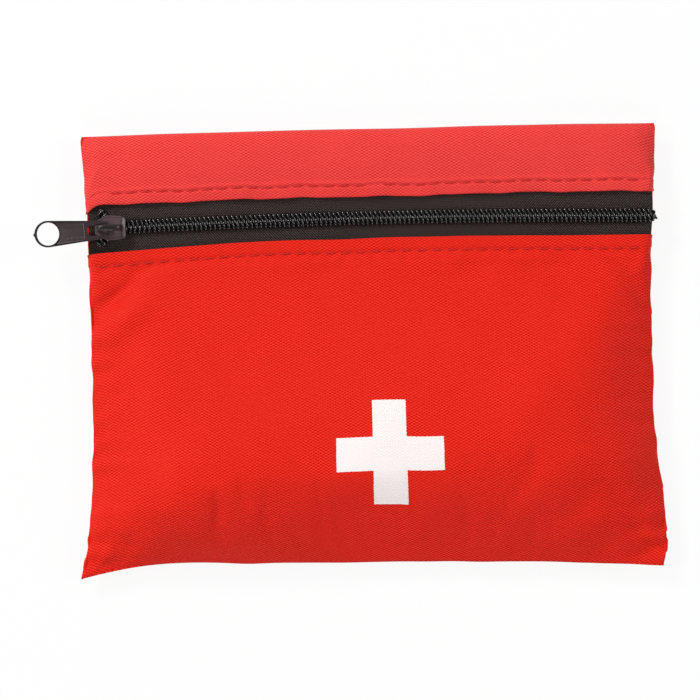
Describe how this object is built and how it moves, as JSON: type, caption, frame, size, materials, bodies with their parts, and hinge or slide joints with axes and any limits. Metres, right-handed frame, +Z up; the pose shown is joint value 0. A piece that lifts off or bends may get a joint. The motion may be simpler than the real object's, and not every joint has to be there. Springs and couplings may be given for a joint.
{
  "type": "zip-up first aid pouch",
  "caption": "Flat zip-up fabric pouch holding dressings, with a coil zipper near its top edge, a slider with a pull tab, and a white cross on the front.",
  "frame": {"origin": "middle of the back panel's resting face", "axes": "+X along the zipper towards the end where it is open, +Y to the top edge of the pouch, +Z up out of the front"},
  "size_m": [0.1679, 0.119, 0.018],
  "materials": {
    "red_polyester": "red oxford weave, coated inside",
    "black_tape": "black twill zipper tape",
    "black_nylon": "glossy black nylon monofilament",
    "painted_zinc": "dark brown-black enamel, worn glossy on the edges",
    "sealed_paper": "white medical paper",
    "sachet_foil": "pale blue laminated sachet paper",
    "clear_film": "milky plastic film",
    "cotton_gauze": "off-white open cotton weave",
    "cloth_tape": "white cloth tape",
    "white_plastic": "white moulded plastic"
  },
  "bodies": {
    "pouch": {"back_panel": "red_polyester", "front_panel": "red_polyester", "zipper_tape_lower": "black_tape", "zipper_coil_lower": "black_nylon", "gauze_packet_1": "sealed_paper", "gauze_packet_2": "sealed_paper", "wipe_sachet_1": "sachet_foil", "wipe_sachet_2": "sachet_foil", "wipe_sachet_3": "sachet_foil", "plaster_1": "sealed_paper", "plaster_2": "sealed_paper", "plaster_3": "sealed_paper", "glove_packet": "clear_film", "bandage_roll": "cotton_gauze", "adhesive_tape": "cloth_tape", "tape_spool": "white_plastic"},
    "mouth_lip": {"top_strip": "red_polyester", "zipper_tape_upper": "black_tape", "zipper_coil_upper": "black_nylon"},
    "slider": {"zipper_slider": "painted_zinc"},
    "pull": {"pull_tab": "painted_zinc"}
  },
  "joints": [
    {"name": "zip_slide", "type": "slide", "parent": "pouch", "child": "slider", "axis": [1, 0, 0], "range_m": [0, 0.137], "deforming": ["zipper_coil_lower"]},
    {"name": "mouth_open", "type": "hinge", "parent": "pouch", "child": "mouth_lip", "pos_m": [0, 0.0592, 0.005], "axis": [-1, 0, 0], "range_deg": [0, 60], "deforming": ["zipper_coil_upper", "zipper_tape_upper"]},
    {"name": "pull_tab_swing", "type": "hinge", "parent": "slider", "child": "pull", "pos_m": [-0.0699, 0.035, 0.0092], "axis": [0, 1, 0], "range_deg": [0, 180]}
  ],
  "couplings": [
    {"joint": "mouth_open", "follows": "zip_slide", "rad_per_m": 7.62}
  ]
}
